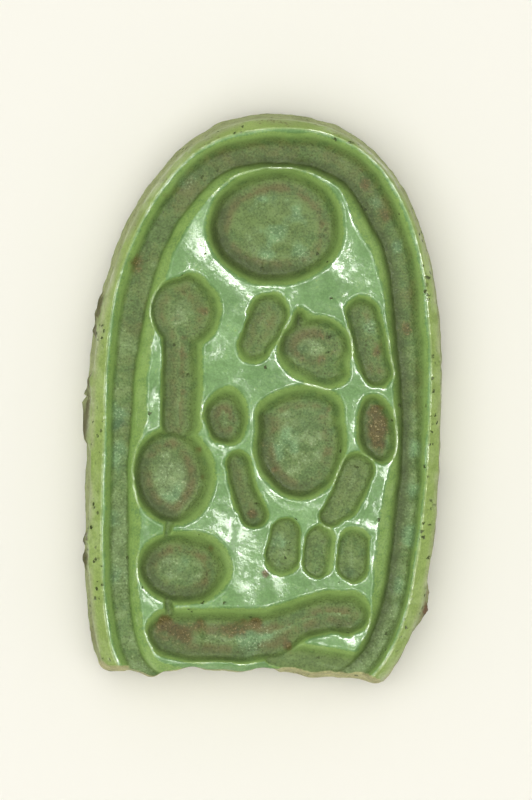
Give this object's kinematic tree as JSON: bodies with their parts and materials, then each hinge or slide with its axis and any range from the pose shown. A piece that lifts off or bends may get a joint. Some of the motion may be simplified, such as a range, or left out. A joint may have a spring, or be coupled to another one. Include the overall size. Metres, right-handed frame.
{
  "type": "finger ring bezel",
  "caption": "Broken oval bezel of an ancient finger ring in green-glazed faience, with a sunk border channel and rows of plain sunk pits and strokes, lying face up.",
  "frame": {"origin": "on the surface that the bezel lies on, under the middle of its outline", "axes": "+Z out of the moulded face, +Y along the bezel to its rounded end, +X to the right as the face is read with the rounded end up"},
  "size_m": [0.0136, 0.0218, 0.0038],
  "materials": {
    "glazed_faience": "gloss"
  },
  "bodies": {
    "root": {"ring_bezel": "glazed_faience"}
  },
  "joints": []
}
